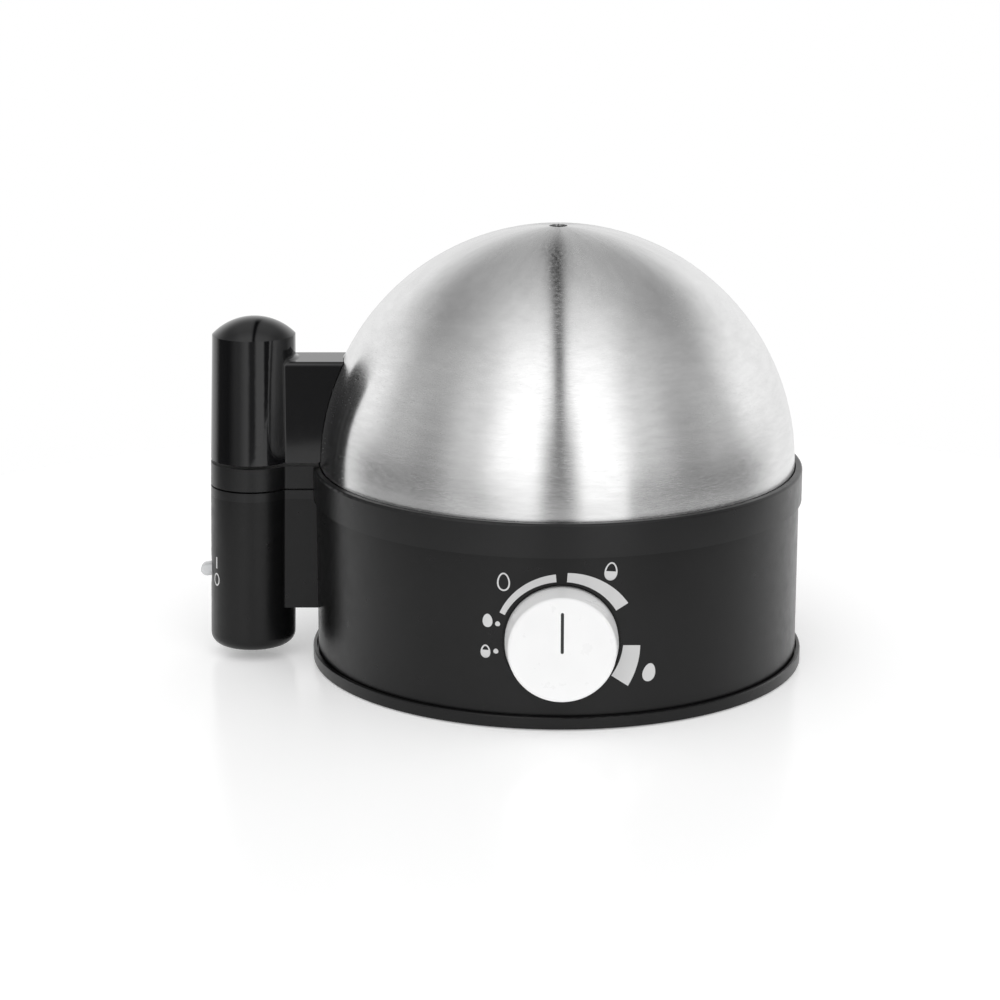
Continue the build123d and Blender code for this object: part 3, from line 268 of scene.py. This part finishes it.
materials = {
    "satin_black": plastic("satin_black", (0.004, 0.004, 0.0042), 0.31, specular=0.28),
    "collar_black": plastic("collar_black", (0.005, 0.005, 0.0053), 0.31, specular=0.34),
    "gloss_black": plastic(
        "gloss_black", (0.0035, 0.0035, 0.004), 0.07, grain=3 * MM, depth=0.002 * MM
    ),
    "white_gloss": plastic(
        "white_gloss", (0.9, 0.9, 0.9), 0.3, grain=0.5 * MM, depth=0.002 * MM, spread=0.02
    ),
    "pointer_ink": plastic("pointer_ink", (0.012, 0.012, 0.012), 0.5, spread=0.3),
    "print_ink": plastic("print_ink", (0.62, 0.62, 0.62), 0.55, grain=0.3 * MM, spread=0.06),
    "soft_rubber": plastic("soft_rubber", (0.03, 0.03, 0.03), 0.8, grain=0.5 * MM, depth=0.02 * MM),
    "red_silicone": plastic("red_silicone", (0.5, 0.09, 0.06), 0.55, grain=0.8 * MM),
    "ceramic": plastic("ceramic", (0.8, 0.78, 0.72), 0.3, grain=0.7 * MM, spread=0.06),
    "cream_moulding": plastic("cream_moulding", (0.62, 0.57, 0.46), 0.5, spread=0.08),
    "natural_nylon": plastic("natural_nylon", (0.78, 0.76, 0.7), 0.45, spread=0.05),
    "black_moulding": plastic("black_moulding", (0.03, 0.03, 0.032), 0.5),
    "brown_wire": plastic("brown_wire", (0.16, 0.06, 0.025), 0.45, grain=1 * MM),
    "blue_wire": plastic("blue_wire", (0.02, 0.07, 0.3), 0.45, grain=1 * MM),
    "brushed_dome": turned_metal(
        "brushed_dome", (0.66, 0.66, 0.66), 0.23, dome_centre_height, anisotropy=0.95
    ),
    "brushed_pan": turned_metal("brushed_pan", (0.6, 0.6, 0.6), 0.3, 0.0, anisotropy=0.5),
    "zinc_plate": plain_metal("zinc_plate", (0.66, 0.67, 0.7), 0.25, tint=(0.6, 0.58, 0.52)),
    "brass": plain_metal("brass", (0.78, 0.58, 0.27), 0.3),
    "cast_aluminium": plain_metal(
        "cast_aluminium", (0.62, 0.63, 0.65), 0.5, grain=0.9 * MM, depth=0.03 * MM
    ),
    "dark_sheath": plain_metal(
        "dark_sheath", (0.16, 0.15, 0.15), 0.5, tint=(0.22, 0.15, 0.11)
    ),
    "fuse_lacquer": plain_metal("fuse_lacquer", (0.6, 0.55, 0.45), 0.35),
    "lever_clear": clear_plastic("lever_clear", (0.82, 0.83, 0.84), 0.22, 0.35),
    "lamp_glass": clear_plastic("lamp_glass", (0.95, 0.6, 0.4), 0.08, 0.8),
}

finish_of_node = {
    "base_housing": "satin_black",
    "base_plate": "satin_black",
    "collar_ring": "collar_black",
    "egg_tray": "collar_black",
    "foot_ring": "soft_rubber",
    "pan_seal": "red_silicone",
    "heating_pan": "brushed_pan",
    "dome": "brushed_dome",
    "heat_spreader": "cast_aluminium",
    "heating_element": "dark_sheath",
    "element_beads": "ceramic",
    "thermal_fuse": "fuse_lacquer",
    "thermostat": "cream_moulding",
    "thermostat_blades": "brass",
    "bush_nut": "brass",
    "switch_blades": "brass",
    "switch_body": "black_moulding",
    "buzzer": "black_moulding",
    "cord_gland": "black_moulding",
    "terminal_block": "natural_nylon",
    "indicator_lamp": "lamp_glass",
    "switch_lever": "lever_clear",
    "wire_block_to_switch": "brown_wire",
    "wire_thermostat_to_element": "brown_wire",
    "wire_switch_to_thermostat": "blue_wire",
    "wire_element_to_fuse": "blue_wire",
    "wire_fuse_to_block": "blue_wire",
    "knob": "white_gloss",
    "knob_pointer": "pointer_ink",
    "lid_handle": "gloss_black",
    "lid_handle_plug": "gloss_black",
}

finish_of_other_nodes = "zinc_plate"  # screws, pins, straps and brackets

for node_name, node_object in frame["nodes"].items():
    finish_name = finish_of_node.get(node_name, finish_of_other_nodes)
    node_object.data.materials.clear()
    node_object.data.materials.append(materials[finish_name])


# ------------------------------------------------------------ printed marks
print_thickness = 0.04 * MM
print_depth = 0.03 * MM  # how far a mark's back lies inside the wall
strip_columns = 6  # facets across a mark, so that it follows the wall
full = 1.0  # an egg filled to its top


def on_housing(u, v, lift):
    """A point of the dial: u to the right of the knob's axis, v above it."""
    radius = body_radius + lift
    return Vector((u, -sqrt(radius**2 - u**2), knob_height + v))


switch_mark_angle = radians(55.0)  # from the front of the handle towards its outer side


def on_handle(u, v, lift):
    """A point beside the lever: u round the handle, v its height."""
    angle = switch_mark_angle - u / handle_radius
    radius = handle_radius + lift
    return Vector((handle_axis_x(v) - radius * sin(angle), -radius * cos(angle), v))


def printed_strip(name, left_edge, right_edge, place, closed=False):
    """A thin closed solid between two rows of (u, v) points, laid on a curved wall."""
    mesh = bmesh.new()
    rows = []
    for left, right in zip(left_edge, right_edge):
        across = []
        for step in range(strip_columns + 1):
            share = step / strip_columns
            across.append([a + (b - a) * share for a, b in zip(left, right)])
        front = [mesh.verts.new(place(u, v, print_thickness)) for u, v in across]
        back = [mesh.verts.new(place(u, v, -print_depth)) for u, v in reversed(across)]
        rows.append(front + back)
    pairs = list(zip(rows, rows[1:]))
    if closed:
        pairs.append((rows[-1], rows[0]))
    for row, following in pairs:
        for corner in range(len(row)):
            after = (corner + 1) % len(row)
            mesh.faces.new((row[corner], row[after], following[after], following[corner]))
    if not closed:
        mesh.faces.new(rows[0])
        mesh.faces.new(reversed(rows[-1]))
    bmesh.ops.recalc_face_normals(mesh, faces=mesh.faces)
    data = bpy.data.meshes.new(name)
    mesh.to_mesh(data)
    mesh.free()
    piece = bpy.data.objects.new(name, data)
    bpy.context.scene.collection.objects.link(piece)
    data.materials.append(materials["print_ink"])
    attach(piece, "base")


def dial_arc(name, start, end, inner, outer_start, outer_end, steps=48):
    """A scale bar that widens. Angles are in degrees, clockwise from the top, and the
    radii from the knob's axis are in millimetres.
    """
    inner_edge = []
    outer_edge = []
    for step in range(steps + 1):
        share = step / steps
        angle = radians(start + (end - start) * share)
        outer = (outer_start + (outer_end - outer_start) * share) * MM
        inner_edge.append((inner * MM * sin(angle), inner * MM * cos(angle)))
        outer_edge.append((outer * sin(angle), outer * cos(angle)))
    printed_strip(name, inner_edge, outer_edge, on_housing)


egg_points = 56
egg_taper = 0.13  # how much narrower the upper end is


def egg_outline(width, height, tilt=0.0, taper=egg_taper):
    """Points of an egg standing on its blunt end, about its middle. No taper gives an oval."""
    points = []
    for step in range(egg_points):
        turn = 2 * pi * step / egg_points
        u = width / 2 * sin(turn) * (1 - taper * cos(turn))
        v = height / 2 * cos(turn)
        points.append((u * cos(tilt) + v * sin(tilt), v * cos(tilt) - u * sin(tilt)))
    return points


def shifted(points, middle):
    """The points moved from about (0, 0) to about the middle."""
    return [(u + middle[0], v + middle[1]) for u, v in points]


def at_dial(angle, radius):
    """A place on the dial, by degrees clockwise from the top and millimetres from the axis."""
    turn = radians(angle)
    return (radius * MM * sin(turn), radius * MM * cos(turn))


def egg_ring(name, middle, width, height, line, tilt=0.0, place=on_housing, taper=egg_taper):
    """An egg drawn as an outline."""
    outside = shifted(egg_outline(width, height, tilt, taper), middle)
    inside = shifted(egg_outline(width - 2 * line, height - 2 * line, tilt, taper), middle)
    printed_strip(name, inside, outside, place, closed=True)


def egg_filled(name, middle, width, height, level=full, tilt=0.0):
    """An egg filled from its blunt end up to a level."""
    steps = 30
    least = 1e-6  # keeps the ends from closing to a point
    top = height * (level - 0.5)
    left_edge = []
    right_edge = []
    for step in range(steps + 1):
        share = step / steps
        # Steps crowd towards a rounded end, and stay wide at a flat top.
        depth = (1 - cos(pi * share)) / 2 if level == full else cos(pi / 2 * (1 - share))
        v = top - (top + height / 2) * depth
        slope = max(-1.0, min(1.0, 2 * v / height))
        half = width / 2 * sqrt(max(least, 1 - slope**2)) * (1 - egg_taper * slope)
        for side, edge in ((-1, left_edge), (1, right_edge)):
            u = side * half
            edge.append((u * cos(tilt) + v * sin(tilt), v * cos(tilt) - u * sin(tilt)))
    printed_strip(name, shifted(left_edge, middle), shifted(right_edge, middle), on_housing)


line_width = 0.5 * MM
large_egg = (4.1 * MM, 6.0 * MM)
small_egg = (3.1 * MM, 4.4 * MM)
dot = (1.6 * MM, 1.6 * MM)

# The three bars widen with the cooking time.
dial_arc("scale_soft", -65, -5, inner=19.8, outer_start=21.6, outer_end=22.35)
dial_arc("scale_medium", 4.5, 60, inner=19.8, outer_start=22.8, outer_end=24.25)
dial_arc("scale_hard", 95, 126, inner=19.6, outer_start=25.1, outer_end=26.2, steps=28)

# Soft, medium and hard eggs, outside their bars.
egg_ring("mark_soft", at_dial(-43.6, 26.6), *large_egg, line_width)
medium_place = at_dial(34, 27.6)
medium_tilt = radians(6)
egg_ring("mark_medium", medium_place, *large_egg, line_width, medium_tilt)
egg_filled("mark_medium_fill", medium_place, *large_egg, 0.5, medium_tilt)
egg_filled("mark_hard", at_dial(112.4, 30.25), *large_egg, tilt=radians(10))

# Two keep-warm eggs, each with a dot.
egg_filled("mark_warm_hard", at_dial(-75.2, 24.2), *small_egg)
egg_filled("dot_warm_hard", at_dial(-75.2, 20.9), *dot)
warm_soft_place = at_dial(-99.6, 24.4)
egg_ring("mark_warm_soft", warm_soft_place, *small_egg, line_width)
egg_filled("mark_warm_soft_fill", warm_soft_place, *small_egg, 0.6)
egg_filled("dot_warm_soft", at_dial(-100.3, 21.1), *dot)

# Beside the lever: an upright bar for on, and an oval below it for off.
on_mark_height = 34.0 * MM
off_mark_height = 28.1 * MM
stroke = 0.7 * MM
on_mark_length = 4.0 * MM
half_stroke = stroke / 2
bar_rows = 8
bar_steps = [
    on_mark_height + on_mark_length * (row / bar_rows - 0.5) for row in range(bar_rows + 1)
]
printed_strip(
    "switch_mark_on",
    [(-half_stroke, v) for v in bar_steps],
    [(half_stroke, v) for v in bar_steps],
    on_handle,
)
off_mark_size = (3.4 * MM, 4.5 * MM)
egg_ring(
    "switch_mark_off",
    (0, off_mark_height),
    *off_mark_size,
    line_width,
    place=on_handle,
    taper=0.0,
)


# ------------------------------------------------------------------- stage
floor_radius = 0.34
floor_glow = 0.25  # the table top is lit from below, as in a light tent
floor_steps = 128
floor_cloud = 0.2
floor_specular = 0.16


def make_floor():
    """A pale round table top, smooth but only faintly mirroring."""
    mesh = bmesh.new()
    bmesh.ops.create_circle(mesh, cap_ends=True, segments=floor_steps, radius=floor_radius)
    data = bpy.data.meshes.new("floor")
    mesh.to_mesh(data)
    mesh.free()
    floor = bpy.data.objects.new("floor", data)
    bpy.context.scene.collection.objects.link(floor)
    finish = Finish("floor_white")
    cloud = finish.noise(finish.place, floor_cloud, 2.0)
    finish.colour(finish.between(cloud, 0, 1), (0.985, 0.985, 0.985), (0.995, 0.995, 0.995))
    finish.roughness(finish.between(cloud, 0.17, 0.21))
    finish.constants(
        Specular_IOR_Level=floor_specular,
        Emission_Color=(1, 1, 1, 1),
        Emission_Strength=floor_glow,
    )
    data.materials.append(finish.material)


make_floor()


# ------------------------------------------------------------------- light
def light_ramp(tree, value, stops):
    """Brightness along a ramp whose stops are (place from 0 to 1, brightness)."""
    node = tree.nodes.new("ShaderNodeValToRGB")
    ramp = node.color_ramp
    ramp.interpolation = "EASE"
    while len(ramp.elements) < len(stops):
        ramp.elements.new(1.0)
    brightest = max(level for _, level in stops)
    for element, (place, level) in zip(ramp.elements, stops):
        element.position = place
        element.color = (level / brightest,) * 3 + (1,)
    tree.links.new(value, node.inputs["Fac"])
    return math_node(tree, "MULTIPLY", node.outputs["Color"], brightest)


studio_strength = 1.82
# Brightness by angle from the front, in degrees, the same to the left and the right: a
# narrow dark gap, a bright soft box, a dim side, and a backdrop about half as bright.
round_the_room = (
    (0, 0.08),
    (3, 0.2),
    (13, 1.0),
    (24, 0.95),
    (45, 0.5),
    (66, 0.27),
    (88, 0.4),
    (112, 0.72),
    (145, 0.62),
    (180, 0.5),
)
# The same below table height, all the way round: the back (-180), the left (-90), the
# front (0), the right (90) and the back again. It has a dark gap at the front too.
below_the_table = (
    (-180, 0.5),
    (-125, 0.6),
    (-100, 0.05),
    (-70, 0.04),
    (-40, 0.25),
    (-14, 0.6),
    (-4, 0.12),
    (4, 0.12),
    (14, 0.7),
    (30, 0.75),
    (35, 0.05),
    (95, 0.05),
    (130, 0.6),
    (180, 0.5),
)
# Overhead, the soft boxes leave a narrow dark gap in the plane of the camera and the
# dome's axis. By distance from that plane, and from the front (0) to the back (1).
over_across = (
    (0, 0.0),
    (0.02, 0.08),
    (0.06, 0.85),
    (0.1, 1.0),
    (0.3, 0.95),
    (0.56, 0.62),
    (1, 0.45),
)
over_along = ((0.1, 0.98), (0.25, 0.86), (0.43, 0.6), (0.65, 0.35), (0.88, 0.27))
# Heights on the unit sphere at which one set of lights gives way to the next.
horizon = (-0.03, 0.03)
overhead = (0.30, 0.75)


def make_studio():
    """Soft boxes and backdrop as one surround. Straight from the camera it is plain white."""
    world = bpy.data.worlds.new("studio")
    bpy.context.scene.world = world
    world.use_nodes = True
    tree = world.node_tree
    tree.nodes.clear()

    def math(operation, *operands):
        return math_node(tree, operation, *operands)

    def ease(value, low, high):
        """From 0 at the low value to 1 at the high one, smoothly."""
        node = tree.nodes.new("ShaderNodeMapRange")
        node.interpolation_type = "SMOOTHSTEP"
        node.inputs["From Min"].default_value = low
        node.inputs["From Max"].default_value = high
        tree.links.new(value, node.inputs["Value"])
        return node.outputs["Result"]

    def blended(share, first, second):
        """The first at share 0, the second at share 1."""
        kept = math("MULTIPLY", first, math("SUBTRACT", 1.0, share))
        return math("MULTIPLY_ADD", second, share, kept)

    direction = tree.nodes.new("ShaderNodeTexCoord").outputs["Generated"]
    axes = tree.nodes.new("ShaderNodeSeparateXYZ")
    tree.links.new(direction, axes.inputs["Vector"])
    x, y, z = axes.outputs
    azimuth = math("ARCTAN2", x, math("MULTIPLY", y, -1.0))
    from_front = math("DIVIDE", math("ABSOLUTE", azimuth), pi)
    whole_turn = math("MULTIPLY_ADD", azimuth, 0.5 / pi, 0.5)
    upper = light_ramp(
        tree, from_front, [(angle / 180, level) for angle, level in round_the_room]
    )
    lower = light_ramp(
        tree, whole_turn, [((angle + 180) / 360, level) for angle, level in below_the_table]
    )
    across = light_ramp(tree, math("ABSOLUTE", x), over_across)
    along = light_ramp(tree, math("MULTIPLY_ADD", y, 0.5, 0.5), over_along)
    upper = blended(ease(z, *overhead), upper, math("MULTIPLY", across, along))
    level = blended(ease(z, *horizon), lower, upper)
    level = math("MULTIPLY", level, studio_strength)
    rays = tree.nodes.new("ShaderNodeLightPath")
    level = blended(rays.outputs["Is Camera Ray"], level, 1.0)
    background = tree.nodes.new("ShaderNodeBackground")
    tree.links.new(level, background.inputs["Color"])
    output = tree.nodes.new("ShaderNodeOutputWorld")
    tree.links.new(background.outputs[0], output.inputs["Surface"])


make_studio()
bpy.context.scene.view_settings.view_transform = "Standard"

# ------------------------------------------------------------------ camera
camera_place = Vector((-0.01945, -0.9319, 0.2987))
camera_dip = radians(14.72)
camera_lens = 101.6  # millimetres, as is the sensor's width
sensor_width = 36.0
nearest_seen = 0.05
farthest_seen = 20.0
camera_data = bpy.data.cameras.new("camera")
camera_data.lens = camera_lens
camera_data.sensor_width = sensor_width
camera_data.clip_start = nearest_seen
camera_data.clip_end = farthest_seen
camera = bpy.data.objects.new("camera", camera_data)
camera.location = camera_place
camera.rotation_euler = (pi / 2 - camera_dip, 0, 0)
bpy.context.scene.collection.objects.link(camera)
bpy.context.scene.camera = camera
